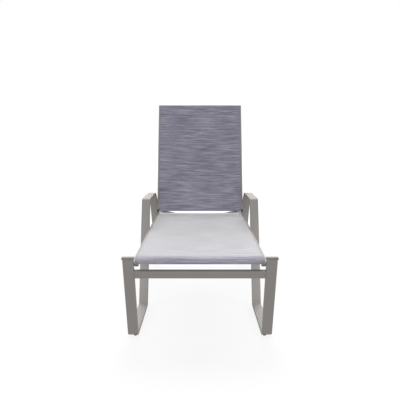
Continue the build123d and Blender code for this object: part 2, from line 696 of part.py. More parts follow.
def knuckle():
    """Right knuckle: the moulded foot of the back rail that turns on the hinge pin."""
    path = back_path(RAIL_DEPTH / 2, BACK_RAIL_START, BACK_LENGTH, RAIL_CENTRE_X)
    plane = end_plane(path, False).offset(JOIN_GAP)
    cover = extrude(plane * RectangleRounded(RAIL_WIDTH, RAIL_DEPTH, RAIL_EDGE_RADIUS), amount=KNUCKLE_COVER)
    neck_length = BACK_RAIL_START - JOIN_GAP
    neck = Pos(neck_length / 2, 0) * Rectangle(neck_length, 2 * KNUCKLE_RADIUS)
    block = x_plate(Circle(KNUCKLE_RADIUS) + neck, BACK, KNUCKLE_INNER_X, KNUCKLE_OUTER_X)
    piece = cover + block + plug_tongue(plane)
    return piece - x_rod(PIN_RADIUS + PIN_CLEARANCE, KNUCKLE_INNER_X - CUT_OVERRUN, HALF_WIDTH, PIVOT)


def back_sling():
    """Back sling, stretched between the back rails."""
    end = BACK_LENGTH - BACK_SLING_END_GAP
    sling = swept(sling_outline(), back_path(0, BACK_SLING_START, end, 0))
    low_hem = back_path(0, BACK_SLING_START - BACK_HEM_DROP, BACK_SLING_START, 0)
    high_hem = back_path(0, end, end + BACK_HEM_RISE, 0)
    return sling + swept(hem_outline(), low_hem) + swept(hem_outline(), high_hem)


def back_splines():
    """Cords that lock the back sling in the rails' grooves."""
    start = BACK_SLING_START + SPLINE_SETBACK
    end = BACK_LENGTH - BACK_SLING_END_GAP - SPLINE_SETBACK
    return both(swept(Circle(SPLINE_RADIUS), back_path(GROOVE_DEPTH, start, end, GROOVE_X)))


def prop_arm():
    """Right arm of the prop, from its pin on the back rail to the rod."""
    plane = side_plane(PROP_HINGE, PROP_ANGLE)
    width = PROP_ARM_WIDTH / 2
    outline = Pos(PROP_REACH / 2, 0) * Rectangle(PROP_REACH, PROP_ARM_WIDTH)
    outline += Circle(width) + Pos(PROP_REACH, 0) * Circle(width)
    outline -= Circle(PIN_RADIUS + PIN_CLEARANCE)
    outline -= Pos(PROP_REACH, 0) * Circle(ROD_RADIUS + ROD_BORE_GAP)
    return x_plate(outline, plane, ARM_INNER_X, ARM_OUTER_X)


def prop_rod():
    """Rod across the foot of the prop, out into both racks."""
    reach = RACK_OUTER_X - JOIN_GAP
    return x_rod(ROD_RADIUS, -reach, reach, ROD_PLACE)


def prop_collars():
    """Collars that keep the prop's arms in place on the rod."""
    x_to = ARM_INNER_X - JOIN_GAP
    x_from = x_to - ROD_COLLAR_WIDTH
    ring = x_rod(ROD_COLLAR_RADIUS, x_from, x_to, ROD_PLACE)
    bore = x_rod(ROD_RADIUS + ROD_BORE_GAP, x_from - CUT_OVERRUN, x_to + CUT_OVERRUN, ROD_PLACE)
    return both(ring - bore)


def prop_pins():
    """Headed pins on the back rails that the prop's arms turn on."""
    return headed_pins(ARM_INNER_X - WASHER_GAP, RAIL_INNER_X + PROP_PIN_REACH - JOIN_GAP, PROP_HINGE)


def prop_spacers():
    """Sleeves between the back rails and the prop's arms."""
    x_from = ARM_OUTER_X + WASHER_GAP
    x_to = RAIL_INNER_X - JOIN_GAP
    ring = x_rod(PROP_SPACER_RADIUS, x_from, x_to, PROP_HINGE)
    bore = x_rod(PIN_RADIUS + BOLT_HOLE_GAP, x_from - CUT_OVERRUN, x_to + CUT_OVERRUN, PROP_HINGE)
    return both(ring - bore)


def sides(name, piece):
    """A piece on the right and its mirror image on the left, as two named parts."""
    return {name + "_right": [piece], name + "_left": [mirror(piece, about=Plane.YZ)]}


def lounger():
    """Every named part, with its separate solids."""
    parts = {}
    parts.update(sides("side_frame", side_frame()))
    parts["front_leg_caps"] = front_leg_caps()
    parts["rear_feet"] = rear_feet()
    parts["runner_glides"] = glides()
    parts["front_stretcher"] = [stretcher(on_leg(LEG_CUT_HEIGHT - FRONT_STRETCHER_BELOW_CUT), LEG_LEAN)]
    parts["rear_stretcher"] = [stretcher(on_rear_leg(REAR_STRETCHER_HEIGHT), REAR_LEG_LEAN)]
    parts.update(sides("seat_rail", seat_rail()))
    parts["seat_rail_plugs"] = seat_rail_plugs()
    parts["rail_spacers"] = rail_spacers()
    parts["frame_bolts"] = frame_bolts()
    parts["seat_brace_front"] = [seat_brace(SEAT_BRACE_SHARES[0])]
    parts["seat_brace_middle"] = [seat_brace(SEAT_BRACE_SHARES[1])]
    parts["rear_brace"] = [rear_brace()]
    parts["end_brace"] = [end_brace()]
    parts["seat_sling"] = [seat_sling()]
    parts["seat_splines"] = seat_splines()
    parts["hinge_lugs"] = hinge_lugs()
    parts["hinge_pins"] = hinge_pins()
    parts.update(sides("rack", rack()))
    parts["rack_screws"] = rack_screws()
    parts.update(sides("back_rail", back_rail()))
    parts["back_rail_plugs"] = back_rail_plugs()
    parts.update(sides("hinge_knuckle", knuckle()))
    parts["back_brace_lower"] = [back_brace(BACK_BRACE_ABOVE_PIVOT)]
    parts["back_brace_upper"] = [back_brace(BACK_LENGTH - BACK_BRACE_BELOW_END)]
    parts["back_sling"] = [back_sling()]
    parts["back_splines"] = back_splines()
    parts["prop_pins"] = prop_pins()
    parts["prop_spacers"] = prop_spacers()
    parts.update(sides("prop_arm", prop_arm()))
    parts["prop_rod"] = [prop_rod()]
    parts["prop_collars"] = prop_collars()
    return parts


def place_text(place, shift):
    """A point of the side view in metres, after the shift along Y."""
    return "[0, %.6f, %.6f]" % ((place.Y + shift) / M, place.Z / M)


parts = {}
for name, pieces in lounger().items():
    parts[name] = [solid for piece in pieces for solid in piece.solids()]
box = Compound([solid for solids in parts.values() for solid in solids]).bounding_box()
shift = -(box.min.Y + box.max.Y) / 2
os.makedirs("parts", exist_ok=True)
for name, solids in parts.items():
    moved = [Pos(0, shift, 0) * solid for solid in solids]
    export_step(moved[0] if len(moved) == 1 else Compound(children=moved), "parts/" + name + ".step")

print("size", box.size, "shift", shift)
print("hinge", place_text(PIVOT, shift))
print("prop hinge", place_text(PROP_HINGE, shift))
print("rod at rest", place_text(ROD_PLACE, shift))
print("recline", RECLINE_TRAVEL, "prop swing", 2 * RECLINE_TRAVEL)
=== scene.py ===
import json
import math

import bpy
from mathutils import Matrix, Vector


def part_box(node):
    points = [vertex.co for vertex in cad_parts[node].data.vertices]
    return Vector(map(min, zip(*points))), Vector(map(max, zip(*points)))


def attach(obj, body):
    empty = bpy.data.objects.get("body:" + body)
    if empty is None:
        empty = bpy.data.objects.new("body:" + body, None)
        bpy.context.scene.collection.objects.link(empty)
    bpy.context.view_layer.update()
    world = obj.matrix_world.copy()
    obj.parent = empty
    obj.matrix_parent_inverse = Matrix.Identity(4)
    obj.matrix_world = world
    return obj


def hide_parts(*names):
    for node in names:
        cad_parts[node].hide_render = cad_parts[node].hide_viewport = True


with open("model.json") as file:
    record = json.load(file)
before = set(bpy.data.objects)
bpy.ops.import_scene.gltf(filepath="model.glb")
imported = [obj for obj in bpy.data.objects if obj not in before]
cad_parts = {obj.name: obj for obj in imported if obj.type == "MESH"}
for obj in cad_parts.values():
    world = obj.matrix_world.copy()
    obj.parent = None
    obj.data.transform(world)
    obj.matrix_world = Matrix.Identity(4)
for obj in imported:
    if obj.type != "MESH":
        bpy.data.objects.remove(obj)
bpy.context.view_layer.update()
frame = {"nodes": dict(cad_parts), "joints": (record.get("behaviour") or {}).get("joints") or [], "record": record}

MM = 0.001
nodes = frame["nodes"]

# The hinge's place, from the frame
PIVOT = Vector(next(joint for joint in frame["joints"] if joint["name"] == "back_recline")["pos_m"])

# Sizes that the solids have
SEAT_RISE = math.radians(1.3)
BACK_ANGLE = math.radians(72.0)
RAIL_DEPTH = 24 * MM
RAIL_WIDTH = 20 * MM
RAIL_OUTER_X = 303.5 * MM
RAIL_INNER_X = RAIL_OUTER_X - RAIL_WIDTH
GROOVE_INSET = 13 * MM
GROOVE_X = RAIL_OUTER_X - GROOVE_INSET
PIVOT_ABOVE_RAIL = 13 * MM
ROLL_START_Y = 72 * MM
ROLL_START_HEIGHT = 428 * MM
ROLL_RADIUS = 84 * MM
ROLL_ANGLE = math.radians(43.2)
BRACE_RADIUS = 11 * MM
RACK_INSET = 5.5 * MM
TUBE_INNER_X = 304.5 * MM
STRETCHER_DEPTH = 39 * MM
STRETCHER_THICKNESS = 19 * MM

# How far each leg runs along Y over its rise
FRONT_LEG_RUN, FRONT_LEG_RISE = 124.2 * MM, 407.5 * MM
REAR_LEG_RUN, REAR_LEG_RISE = 374.0 * MM, 595.5 * MM
FRONT_LEG_LEAN = math.atan2(FRONT_LEG_RUN, FRONT_LEG_RISE)
REAR_LEG_LEAN = math.atan2(REAR_LEG_RUN, REAR_LEG_RISE)

# Plane just ahead of the foot end, from which the camera and the front roll are measured
FOOT_END_Y = -0.865118

# Slings
SLING_THICKNESS = 1.2 * MM
SLING_SAG = 4 * MM
SAG_GROWTH = 160 * MM
SLING_LIFT = 0.8 * MM
SLING_IN_GROOVE = 3.4 * MM
GROOVE_TURN = 0.6 * SLING_LIFT
LIP_BEND = 1.4 * MM
LIP_STEPS = 4
ACROSS_STEPS = 28
SEAT_REAR_END = 4 * MM
SEAT_PAST_ROLL = 4.5 * MM
BACK_START = -1.5 * MM
BACK_END = 791 * MM
SEAT_PITCH = 7.5 * MM
BACK_PITCH = 6 * MM
ROLL_ROWS = 3
ROW_LEAST = 0.25

# Ends of the slings that lie between the rails only
FLAP_SIDE_GAP = 0.5 * MM
FLAP_SLACK = 0.001 * MM
SEAT_REAR_FLAP = 11 * MM
SEAT_FRONT_FLAP = 5 * MM
BACK_LOW_FLAP = 13.5 * MM
BACK_HIGH_FLAP = 4.5 * MM

# Hems
HEM_WIDTH = 22 * MM
HEM_EXTRA = 0.9 * MM
HEM_STEP = 0.4 * MM
HEM_SIDE_GAP = 2 * MM
FOLD_RADIUS = 1.05 * MM
FOLD_ROWS = (0.0, 0.08, 0.3, 0.6, 1.0)
FOLD_LEAST = 0.3

# Stitches
STITCH_PITCH = 4.2 * MM
STITCH_LENGTH = 3.0 * MM
STITCH_RADIUS = 0.35 * MM
STITCH_FROM_EDGE = 3.5 * MM
STITCH_SIDE_GAP = 4 * MM
STITCH_LIFT = 0.1 * MM
STITCH_SIDES = 6
# Each ring's share of the length and of the radius
STITCH_RINGS = ((-0.5, 0.35), (-0.2, 1.0), (0.2, 1.0), (0.5, 0.35))

# Weld beads
STRETCHER_BEAD = 0.8 * MM
BRACE_BEAD = 0.9 * MM
BEAD_OUT = 0.3 * MM
STRETCHER_BEAD_IN = 0.4 * MM
BRACE_BEAD_IN = 0.7 * MM
BRACE_END_DEPTH = 1 * MM
BEAD_SIDES = 8
BEAD_STEP = 1.6 * MM
BRACE_BEAD_POINTS = 72
RIPPLE_SHARE = 0.18
RIPPLE_TURN = 2.4

# Sockets in the heads of bolts, screws and pins
SOCKET_DEPTH = 1.1 * MM
SOCKET_HALF_WIDTH = 2.0 * MM
SOCKET_POINTS = 48
HEXAGON_SECTOR = math.pi / 3
# Each ring's share of the head's radius, where None is the hexagon, and of the depth
SOCKET_RINGS = ((1.0, 0.0), (0.9, 0.45), (0.72, 0.85), (None, 1.0), (None, 0.02))
# Points of one head lie within its reach, and those of its flat face within a slack of the innermost X
HEAD_REACH = 16 * MM
HEAD_FACE_SLACK = 0.05 * MM

# Camera, from edges measured in the photo
CAMERA_AHEAD = 2.0402
CAMERA_HEIGHT = 0.9599
CAMERA_DOWN = math.radians(7.2887)
CAMERA_LENS = 41.4
CAMERA_SENSOR = 36

# Lights
FRONT_LIGHT_POWER = 0.5
FRONT_LIGHT_TILT = math.radians(30)
REAR_LIGHT_POWER = 5.0
REAR_LIGHT_TILT = math.radians(-45)
LIGHT_SOFTNESS = math.radians(50)
LOW_LIGHT_POWER = 4.5
LOW_LIGHT_SIZE = 0.3
LOW_LIGHT_PLACE = Vector((0.85, -0.5, 0.25))
LOW_LIGHT_AIM = Vector((0.33, -0.45, 0.02))
SEAT_LIGHT_POWER = 30
SEAT_LIGHT_CONE = math.radians(36)
SEAT_LIGHT_SIZE = 0.05
SEAT_LIGHT_PLACE = Vector((0, -0.05, 1.5))
SEAT_LIGHT_AIM = Vector((0, 0.12, 0.46))

# Floor, which glows more strongly further away; its dimmer glow near the lounger is painted shade round it
FLOOR_REACH = 40.0
FLOOR_COLOUR = (0.06, 0.06, 0.06, 1)
FLOOR_NEAR, FLOOR_FAR = 1.0, 3.0
FLOOR_GLOW_PAINTED_SHADE_NEAR, FLOOR_GLOW_FAR = 0.87, 0.99

# The range that most values of a noise lie in
NOISE_LOW, NOISE_HIGH = 0.3, 0.7

# Sockets of a Mix node that blends colours
MIX_SHARE, MIX_FIRST, MIX_SECOND, MIX_RESULT = 0, 6, 7, 2

# Colours
TAUPE = (0.203, 0.190, 0.179)
CAP_COLOUR = (0.178, 0.167, 0.157)
BLACK = (0.018, 0.018, 0.019)
SPLINE_COLOUR = (0.05, 0.05, 0.055)
ZINC = (0.55, 0.55, 0.54)
YARN_DARK = (0.096, 0.090, 0.129)
YARN_MIDDLE = (0.168, 0.160, 0.205)
YARN_LIGHT = (0.268, 0.259, 0.304)
CLOTH_SHEEN = (0.985, 1.0, 0.91, 1.0)
THREAD_DARK = (0.17, 0.165, 0.2)
THREAD_LIGHT = (0.30, 0.29, 0.34)

# Cloth
YARN_PITCH = 1.5 * MM
# How far from the mean of the noise the darkest and the palest yarns are reached
YARN_SPREAD = 0.13
# Where in the noise the thick dark yarns set in and are full, and their share of the dark tone
SLUB_START, SLUB_FULL, SLUB_SHARE = 0.62, 0.72, 0.5
# Share of the pale tone on the crossings of the weave
CROSSING_SHARE = 0.22

# Heights of the fine relief
PEEL_HEIGHT = 0.06 * MM
GRAIN_HEIGHT = 0.05 * MM
DRAWN_HEIGHT = 0.02 * MM
WEAVE_HEIGHT = 0.12 * MM
TWIST_HEIGHT = 0.08 * MM


def side_vector(angle):
    """Unit vector in the side plane, at an angle up from +Y."""
    return Vector((0, math.cos(angle), math.sin(angle)))


def square_to(angle):
    """Unit vector square to side_vector, a quarter turn up."""
    return side_vector(angle + math.pi / 2)


def angles(count):
    """Even angles round a circle."""
    return [2 * math.pi * k / count for k in range(count)]


# Materials

class Shader:
    """A material with a Principled shader, and the nodes that feed it."""

    def __init__(self, name):
        self.material = bpy.data.materials.new(name)
        self.material.use_nodes = True
        self.tree = self.material.node_tree
        self.bsdf = self.tree.nodes["Principled BSDF"]

    def add(self, kind, **settings):
        made = self.tree.nodes.new(kind)
        for key, value in settings.items():
            setattr(made, key, value)
        return made

    def link(self, source, target):
        self.tree.links.new(source, target)

    def fixed(self, **values):
        """Values that are the same all over the surface."""
        for key, value in values.items():
            self.bsdf.inputs[key.replace("_", " ")].default_value = value

    def coordinates(self, scale=(1, 1, 1), attribute=None):
        """Object coordinates, or a stored attribute, stretched by a scale."""
        mapping = self.add("ShaderNodeMapping")
        mapping.inputs["Scale"].default_value = scale
        if attribute:
            source = self.add("ShaderNodeAttribute", attribute_name=attribute)
            self.link(source.outputs["Vector"], mapping.inputs["Vector"])
        else:
            source = self.add("ShaderNodeTexCoord")
            self.link(source.outputs["Object"], mapping.inputs["Vector"])
        return mapping.outputs["Vector"]

    def noise(self, scale, detail, roughness=0.5, attribute=None):
        """Noise with so many waves per metre along each axis."""
        made = self.add("ShaderNodeTexNoise")
        made.inputs["Scale"].default_value = 1.0
        made.inputs["Detail"].default_value = detail
        made.inputs["Roughness"].default_value = roughness
        self.link(self.coordinates(scale, attribute), made.inputs["Vector"])
        return made.outputs["Fac"]

    def ramp(self, value, stops):
        """Colours at places along a value."""
        made = self.add("ShaderNodeValToRGB")
        elements = made.color_ramp.elements
        while len(elements) < len(stops):
            elements.new(0.5)
        for element, (place, colour) in zip(elements, stops):
            element.position = place
            element.color = (*colour, 1.0)
        self.link(value, made.inputs["Fac"])
        return made.outputs["Color"]

    def tones(self, noise, low, high):
        """Two colours at the ends of a noise's range."""
        return self.ramp(noise, [(NOISE_LOW, low), (NOISE_HIGH, high)])

    def span(self, value, low, high, new_low, new_high):
        """A value brought from one range to another."""
        made = self.add("ShaderNodeMapRange")
        names = ("From Min", "From Max", "To Min", "To Max")
        for name, number in zip(names, (low, high, new_low, new_high)):
            made.inputs[name].default_value = number
        self.link(value, made.inputs["Value"])
        return made.outputs["Result"]

    def math(self, operation, first, second=0):
        made = self.add("ShaderNodeMath", operation=operation)
        for socket, value in zip(made.inputs, (first, second)):
            if isinstance(value, (int, float)):
                socket.default_value = value
            else:
                self.link(value, socket)
        return made.outputs[0]

    def mix(self, first, second, share):
        """The first colour with a share of the second, each a colour or a node's output."""
        made = self.add("ShaderNodeMix", data_type="RGBA")
        for number, value in ((MIX_FIRST, first), (MIX_SECOND, second)):
            if isinstance(value, tuple):
                made.inputs[number].default_value = (*value, 1.0)
            else:
                self.link(value, made.inputs[number])
        self.link(share, made.inputs[MIX_SHARE])
        return made.outputs[MIX_RESULT]

    def bump(self, height, distance, strength=1.0):
        made = self.add("ShaderNodeBump")
        made.inputs["Distance"].default_value = distance
        made.inputs["Strength"].default_value = strength
        self.link(height, made.inputs["Height"])
        self.link(made.outputs["Normal"], self.bsdf.inputs["Normal"])

    def colour(self, socket):
        self.link(socket, self.bsdf.inputs["Base Color"])

    def roughness(self, value, low, high, start=NOISE_LOW, end=NOISE_HIGH):
        """Roughness from low to high as a value goes from its start to its end."""
        self.link(self.span(value, start, end, low, high), self.bsdf.inputs["Roughness"])


def tinted(colour, share):
    """A colour made lighter or darker by a share."""
    return tuple(channel * share for channel in colour)


def powder_coat():
    """Taupe powder coat: fine orange peel, slight tone drift and a few faint rubs."""
    made = Shader("taupe_powder_coat")
    made.fixed(Metallic=0.0, IOR=1.5, Specular_IOR_Level=0.3)
    drift = made.noise((4, 4, 4), detail=2)
    rubs = made.noise((90, 14, 14), detail=6, roughness=0.7)
    peel = made.noise((900, 900, 900), detail=2)
    tone = made.tones(drift, tinted(TAUPE, 0.96), tinted(TAUPE, 1.04))
    rubbed = made.span(rubs, 0.66, 0.76, 0.0, 0.25)
    made.colour(made.mix(tone, tinted(TAUPE, 1.25), rubbed))
    made.roughness(drift, 0.66, 0.72)
    made.bump(peel, PEEL_HEIGHT, 0.7)
    return made.material


def moulded(name, colour, rough, gloss=0.5):
    """Moulded plastic with a fine spark-eroded grain and slight flow marks."""
    made = Shader(name)
    made.fixed(IOR=1.46, Specular_IOR_Level=gloss)
    flow = made.noise((18, 18, 50), detail=3)
    grain = made.noise((1400, 1400, 1400), detail=1)
    made.colour(made.tones(flow, tinted(colour, 0.9), tinted(colour, 1.1)))
    made.roughness(flow, rough - 0.05, rough + 0.05)
    made.bump(grain, GRAIN_HEIGHT, 0.8)
    return made.material


def steel(name, colour, rough):
    """Plated steel with fine drawn lines."""
    made = Shader(name)
    made.fixed(Metallic=1.0)
    lines = made.noise((25, 1600, 1600), detail=3)
    haze = made.noise((40, 40, 40), detail=4)
    made.colour(made.tones(haze, tinted(colour, 0.85), tinted(colour, 1.1)))
    made.roughness(lines, rough - 0.06, rough + 0.08)
    made.bump(lines, DRAWN_HEIGHT, 0.5)
    return made.material


def sling_cloth(name):
    """Coated mesh cloth: uneven dark and pale weft yarns run across it, over a plain weave."""
    made = Shader(name)
    made.fixed(Sheen_Weight=1.0, Sheen_Roughness=0.4, Sheen_Tint=CLOTH_SHEEN, Specular_IOR_Level=0.1)
    broad = made.noise((6, 95, 1), detail=3, roughness=0.6, attribute="weave")
    thin = made.noise((16, 420, 1), detail=2, roughness=0.6, attribute="weave")
    slub = made.noise((11, 330, 1), detail=1, attribute="weave")
    streak = made.math("ADD", made.math("MULTIPLY", broad, 0.7), made.math("MULTIPLY", thin, 0.3))
    stops = [(0.5 - YARN_SPREAD, YARN_DARK), (0.5, YARN_MIDDLE), (0.5 + YARN_SPREAD, YARN_LIGHT)]
    thick = made.span(slub, SLUB_START, SLUB_FULL, 0.0, SLUB_SHARE)
    tone = made.mix(made.ramp(streak, stops), YARN_DARK, thick)
    yarns = made.add("ShaderNodeSeparateXYZ")
    made.link(made.coordinates(attribute="weave"), yarns.inputs["Vector"])
    turn = 2 * math.pi / YARN_PITCH
    warp = made.math("SINE", made.math("MULTIPLY", yarns.outputs["X"], turn))
    weft = made.math("SINE", made.math("MULTIPLY", yarns.outputs["Y"], turn))
    weave = made.math("MULTIPLY", warp, weft)
    crossing = made.span(weave, -1, 1, 0.0, CROSSING_SHARE)
    made.colour(made.mix(tone, YARN_LIGHT, crossing))
    made.roughness(weave, 0.62, 0.78, -1, 1)
    made.bump(weave, WEAVE_HEIGHT, 0.8)
    return made.material


def thread():
    """Twisted sewing thread."""
    made = Shader("sewing_thread")
    made.fixed(Sheen_Weight=0.2)
    twist = made.noise((2500, 2500, 2500), detail=1)
    made.colour(made.tones(twist, THREAD_DARK, THREAD_LIGHT))
    made.bump(twist, TWIST_HEIGHT)
    return made.material


MATERIALS = {
    "frame": powder_coat(),
    "caps": moulded("taupe_nylon", CAP_COLOUR, 0.75, 0.2),
    "black_nylon": moulded("black_nylon", BLACK, 0.45),
    "spline": moulded("dark_spline", SPLINE_COLOUR, 0.7),
    "steel": steel("zinc_plated_steel", ZINC, 0.34),
    "seat_weave": sling_cloth("seat_cloth"),
    "back_weave": sling_cloth("back_cloth"),
}
THREAD = thread()


def dress_cad_nodes():
    """Every CAD node gets the material of its slot."""
    for part in frame["record"]["subparts"]:
        made = nodes[part["node"]]
        made.data.materials.clear()
        made.data.materials.append(MATERIALS[part["material_slot"]])


# Meshes

def turned_out(vertices, faces):
    """The faces of a closed mesh, all turned over if they look inward."""
    points = [Vector(v) for v in vertices]
    volume = 0.0
    for face in faces:
        for second, third in zip(face[1:], face[2:]):
            volume += points[face[0]].dot(points[second].cross(points[third]))
    return faces if volume > 0 else [tuple(reversed(face)) for face in faces]


def mesh_piece(name, vertices, faces, material, body, smooth=True):
    """A closed mesh in the frame that rides on a body."""
    mesh = bpy.data.meshes.new(name)
    mesh.from_pydata([tuple(v) for v in vertices], [], turned_out(vertices, faces))
    mesh.materials.append(material)
    if smooth:
        mesh.polygons.foreach_set("use_smooth", [True] * len(mesh.polygons))
    mesh.update()
    made = bpy.data.objects.new(name, mesh)
    bpy.context.scene.collection.objects.link(made)
    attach(made, body)
    return made


def ring(start, sides):
    """A face over a ring of vertices that begin at a number."""
    return tuple(start + k for k in range(sides))


def between_rings(first, second, sides):
    """Faces between two rings of vertices, given the number that each begins at."""
    faces = []
    for k in range(sides):
        following = (k + 1) % sides
        faces.append((first + k, first + following, second + following, second + k))
    return faces


# Slings

class SlingLine:
    """The line that a sling follows along its rails, measured from its rear or lower end."""

    def __init__(self, at, length, first_flap, last_flap, pitch, fine_from):
        self.at = at
        self.length = length
        self.first_flap = first_flap
        self.last_flap = last_flap
        self.rows = self.row_distances(pitch, fine_from)

    def row_distances(self, pitch, fine_from):
        """Even rows, closer ones in the roll, and exact ones at folds, flaps and hems."""
        exact = {self.first_flap, self.length - self.last_flap}
        for hem in (HEM_WIDTH - HEM_STEP / 2, HEM_WIDTH + HEM_STEP / 2):
            exact |= {hem, self.length - hem}
        for share in FOLD_ROWS:
            exact |= {share * FOLD_RADIUS, self.length - share * FOLD_RADIUS}
        rows = sorted(exact)
        travelled = 0.0
        while travelled < self.length:
            if min(abs(travelled - row) for row in exact) > pitch * ROW_LEAST:
                rows.append(travelled)
            travelled += pitch / ROLL_ROWS if travelled >= fine_from else pitch
        return sorted(rows)

    def from_end(self, travelled):
        """Distance to the nearer end."""
        return min(travelled, self.length - travelled)

    def narrow(self, travelled):
        """Whether the cloth lies only between the rails here."""
        in_first = travelled < self.first_flap - FLAP_SLACK
        return in_first or travelled > self.length - self.last_flap + FLAP_SLACK

    def sag(self, travelled):
        """Depth of the sag in the middle, none at the taut hems."""
        share = min(1.0, self.from_end(travelled) / SAG_GROWTH)
        return SLING_SAG * share * share * (3 - 2 * share)


def seat_line():
    """The seat sling's line, from the hinge forward and down the front roll."""
    rise, up = side_vector(SEAT_RISE), square_to(SEAT_RISE)
    start = PIVOT - up * PIVOT_ABOVE_RAIL - rise * SEAT_REAR_END
    flat_end = Vector((0, FOOT_END_Y + ROLL_START_Y, ROLL_START_HEIGHT))
    run = (start - flat_end).dot(rise)
    centre = flat_end - up * ROLL_RADIUS

    def at(travelled):
        if travelled <= run:
            return start - rise * travelled, up
        normal = square_to(SEAT_RISE + (travelled - run) / ROLL_RADIUS)
        return centre + normal * ROLL_RADIUS, normal

    length = run + ROLL_RADIUS * ROLL_ANGLE + SEAT_PAST_ROLL
    return SlingLine(at, length, SEAT_REAR_FLAP, SEAT_FRONT_FLAP, SEAT_PITCH, run)


def back_line():
    """The back sling's line, from the hinge up."""
    along, front = side_vector(BACK_ANGLE), square_to(BACK_ANGLE)

    def at(travelled):
        return PIVOT + along * (BACK_START + travelled) + front * (RAIL_DEPTH / 2), front

    length = BACK_END - BACK_START
    return SlingLine(at, length, BACK_LOW_FLAP, BACK_HIGH_FLAP, BACK_PITCH, length)


def section(sag):
    """A sling's middle surface across its width, right to left: (x, height above the rails)."""
    right = [(GROOVE_X, -SLING_IN_GROOVE), (GROOVE_X, -GROOVE_TURN)]
    for i in range(1, LIP_STEPS + 1):
        angle = math.pi / 2 * i / LIP_STEPS
        inward = LIP_BEND * (1 - math.cos(angle))
        right.append((GROOVE_X - inward, SLING_LIFT - LIP_BEND + LIP_BEND * math.sin(angle)))
    flat = [RAIL_INNER_X * (1 - i / ACROSS_STEPS) for i in range(ACROSS_STEPS + 1)]
    flat.insert(1, RAIL_INNER_X - FLAP_SIDE_GAP)
    right += [(x, sling_height(x, sag)) for x in flat]
    return right + [(-x, height) for x, height in reversed(right[:-1])]


def sling_height(x, sag):
    """Height of a sling's middle surface above the rails."""
    return SLING_LIFT - sag * (1 - (x / RAIL_INNER_X) ** 2)


def section_normals(points):
    """Unit normals of the section, in its own plane."""
    normals = []
    for i in range(len(points)):
        before, after = points[max(i - 1, 0)], points[min(i + 1, len(points) - 1)]
        across, up = after[0] - before[0], after[1] - before[1]
        length = math.hypot(across, up)
        normals.append((up / length, -across / length))
    return normals


def developed(points):
    """Distances along the section from its first point."""
    distances = [0.0]
    for first, second in zip(points, points[1:]):
        distances.append(distances[-1] + math.dist(first, second))
    return distances


def fold_share(from_end):
    """Share of the thickness that is left near a folded end."""
    if from_end >= FOLD_RADIUS:
        return 1.0
    return max(FOLD_LEAST, math.sqrt(1 - (1 - from_end / FOLD_RADIUS) ** 2))


def sling_vertices(line, widths):
    """Vertex numbers by side, row and column, the vertices, and their places on the flat cloth."""
    flap_x = RAIL_INNER_X - FLAP_SIDE_GAP / 2
    hem_x = RAIL_INNER_X - HEM_SIDE_GAP
    at, vertices, weave = {}, [], []
    for side in (1, -1):
        for row, travelled in enumerate(line.rows):
            place, normal = line.at(travelled)
            points = section(line.sag(travelled))
            normals = section_normals(points)
            hem = HEM_EXTRA if line.from_end(travelled) < HEM_WIDTH else 0.0
            fold = fold_share(line.from_end(travelled))
            for column, ((x, height), (out_x, out_height)) in enumerate(zip(points, normals)):
                if line.narrow(travelled) and abs(x) > flap_x:
                    continue
                extra = hem if abs(x) < hem_x else 0.0
                offset = -extra / 2 + side * fold * (SLING_THICKNESS + extra) / 2
                vertex = place + normal * (height + out_height * offset)
                at[side, row, column] = len(vertices)
                vertices.append((x + out_x * offset, vertex.y, vertex.z))
                weave.append((widths[column], travelled, 0.0))
    return at, vertices, weave


def cell_corners(row, column):
    """Corners of the cell that lies between a row and a column and the next ones."""
    return ((row, column), (row, column + 1), (row + 1, column + 1), (row + 1, column))


def sling_faces(at, rows, columns):
    """Faces of both sides of the cloth, and of its edges between them."""
    cells = set()
    for row in range(rows - 1):
        for column in range(columns - 1):
            if all((1, *corner) in at for corner in cell_corners(row, column)):
                cells.add((row, column))
    faces = []
    for row, column in sorted(cells):
        top = [at[(1, *corner)] for corner in cell_corners(row, column)]
        low = [at[(-1, *corner)] for corner in cell_corners(row, column)]
        faces += [tuple(top), tuple(reversed(low))]
        beside = ((row - 1, column), (row, column + 1), (row + 1, column), (row, column - 1))
        for k, other in enumerate(beside):
            if other not in cells:
                following = (k + 1) % len(beside)
                faces.append((top[following], top[k], low[k], low[following]))
    return faces


def sling(name, line, body, slot):
    """Closed thin cloth along a line, with doubled hems, folded ends and flaps, and its flat width."""
    widths = developed(section(SLING_SAG))
    at, vertices, weave = sling_vertices(line, widths)
    faces = sling_faces(at, len(line.rows), len(widths))
    made = mesh_piece(name, vertices, faces, MATERIALS[slot], body)
    attribute = made.data.attributes.new("weave", "FLOAT_VECTOR", "POINT")
    attribute.data.foreach_set("vector", [number for point in weave for number in point])
    return made, widths[-1]


def stitches(name, line, travelled, body):
    """A row of stitches across a hem, on both faces of the cloth."""
    vertices, faces = [], []
    place, normal = line.at(travelled)
    along = normal.cross(Vector((1, 0, 0)))
    half_width = RAIL_INNER_X - STITCH_SIDE_GAP
    count = int(2 * half_width / STITCH_PITCH)
    above = SLING_THICKNESS / 2 + STITCH_LIFT
    for offset in (above, -above - HEM_EXTRA):
        for i in range(count):
            x = -half_width + STITCH_PITCH * (i + 0.5)
            middle = place + normal * (sling_height(x, line.sag(travelled)) + offset)
            base = len(vertices)
            for share, thickness in STITCH_RINGS:
                for angle in angles(STITCH_SIDES):
                    lift = normal * (math.sin(angle) * STITCH_RADIUS * thickness)
                    slide = along * (math.cos(angle) * STITCH_RADIUS * thickness)
                    vertices.append(middle + Vector((x + share * STITCH_LENGTH, 0, 0)) + lift + slide)
            starts = [base + i * STITCH_SIDES for i in range(len(STITCH_RINGS))]
            for first, second in zip(starts, starts[1:]):
                faces += between_rings(first, second, STITCH_SIDES)
            faces.append(tuple(reversed(ring(starts[0], STITCH_SIDES))))
            faces.append(ring(starts[-1], STITCH_SIDES))
    return mesh_piece(name, vertices, faces, THREAD, body)


